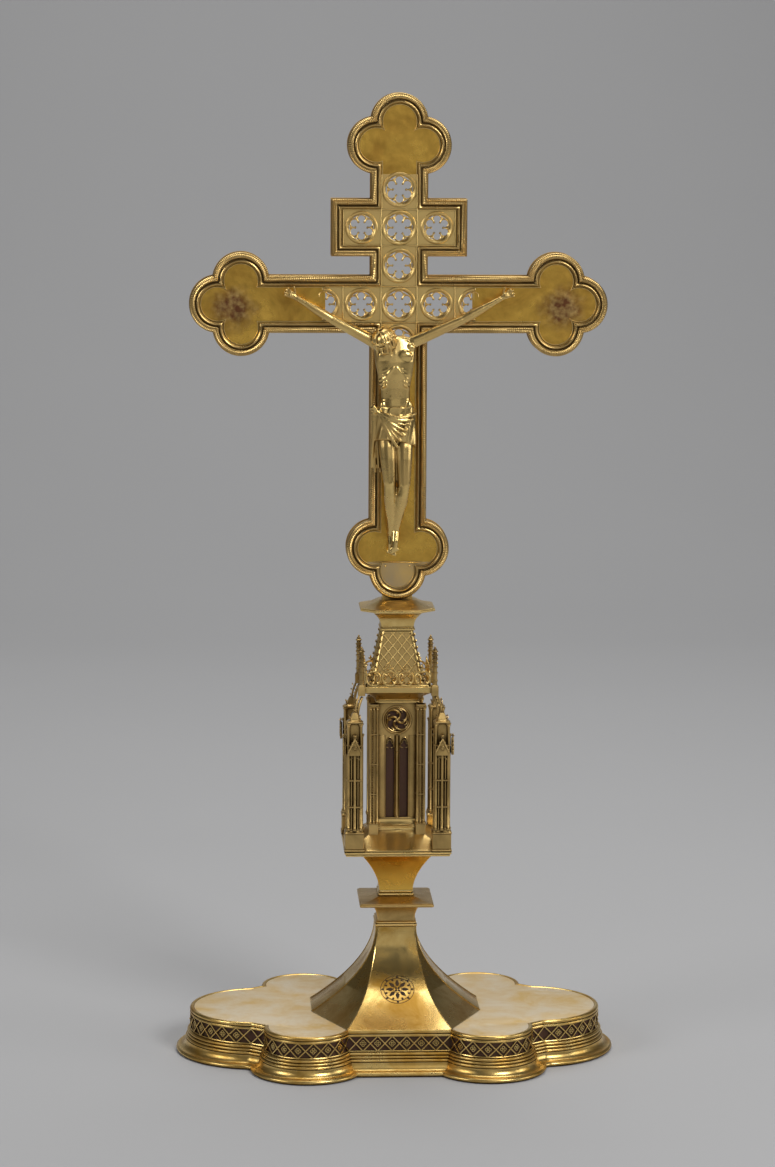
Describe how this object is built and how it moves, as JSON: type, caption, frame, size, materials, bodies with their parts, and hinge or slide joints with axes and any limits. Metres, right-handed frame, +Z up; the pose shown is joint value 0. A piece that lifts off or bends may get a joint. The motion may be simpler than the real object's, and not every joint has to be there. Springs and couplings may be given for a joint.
{
  "type": "processional cross",
  "caption": "Gilt double-barred processional cross with trefoil ends, pierced tracery and a corpus, on a windowed knop with buttresses and a lobed openwork foot.",
  "frame": {"origin": "centre of the foot's underside, on the surface that it stands on", "axes": "+Z up; -Y is the front, with the corpus; +X is to the viewer's right"},
  "size_m": [0.297, 0.186, 0.6451],
  "materials": {
    "foot_gilt": "polished gilding, worn, dark in the openwork",
    "stem_gilt": "polished gilding",
    "knop_gilt": "gilding with dark tarnish in the recesses",
    "frame_gilt": "gilding on corded mouldings",
    "plate_gilt": "hammered gilding with brown tarnish patches",
    "grille_gilt": "cast and filed gilding",
    "corpus_gilt": "chased and burnished gilding",
    "dark_lining": "dark brown oxidised sheet",
    "rod_iron": "forged iron"
  },
  "bodies": {
    "foot": {"foot_top_plate": "foot_gilt", "foot_lattice_band": "foot_gilt", "foot_wall": "foot_gilt", "foot_moulding": "foot_gilt", "foot_flange": "foot_gilt", "stem_spire": "stem_gilt", "stem_ring": "stem_gilt", "stem_neck": "stem_gilt", "lower_plate": "stem_gilt", "tie_rod": "rod_iron", "rod_washer": "rod_iron", "rod_nut": "rod_iron"},
    "knop": {"funnel_ring": "knop_gilt", "knop_funnel": "knop_gilt", "knop_base_plate": "knop_gilt", "water_table": "knop_gilt", "tower_lining": "dark_lining", "window_front": "knop_gilt", "window_right": "knop_gilt", "window_back": "knop_gilt", "window_left": "knop_gilt", "front_left_pilaster": "knop_gilt", "front_right_pilaster": "knop_gilt", "back_right_pilaster": "knop_gilt", "back_left_pilaster": "knop_gilt", "front_left_buttress": "knop_gilt", "front_right_buttress": "knop_gilt", "back_right_buttress": "knop_gilt", "back_left_buttress": "knop_gilt", "flying_buttresses": "knop_gilt", "gablets": "knop_gilt", "front_left_pinnacle": "knop_gilt", "front_right_pinnacle": "knop_gilt", "back_right_pinnacle": "knop_gilt", "back_left_pinnacle": "knop_gilt", "cornice": "knop_gilt", "cresting_front": "knop_gilt", "cresting_right": "knop_gilt", "cresting_back": "knop_gilt", "cresting_left": "knop_gilt", "roof": "knop_gilt", "crockets": "knop_gilt", "roof_ring": "knop_gilt", "upper_neck": "knop_gilt", "top_plate": "knop_gilt", "tang_socket": "dark_lining"},
    "cross": {"cross_frame": "frame_gilt", "cross_tang": "rod_iron", "cross_side_wall": "frame_gilt", "cross_back_plate": "frame_gilt", "cross_bracket": "frame_gilt", "tracery_grille": "grille_gilt", "top_trefoil_plate": "plate_gilt", "left_arm_plate": "plate_gilt", "right_arm_plate": "plate_gilt", "shaft_plate": "plate_gilt", "lower_patch_plate": "plate_gilt", "corpus": "corpus_gilt", "hand_nails": "corpus_gilt", "foot_nail": "corpus_gilt"}
  },
  "joints": [
    {"name": "knop_turn", "type": "hinge", "parent": "foot", "child": "knop", "pos_m": [0, 0, 0.108], "axis": [0, 0, 1], "continuous": true},
    {"name": "cross_lift", "type": "slide", "parent": "knop", "child": "cross", "axis": [0, 0, 1], "range_m": [0, 0.052]}
  ]
}
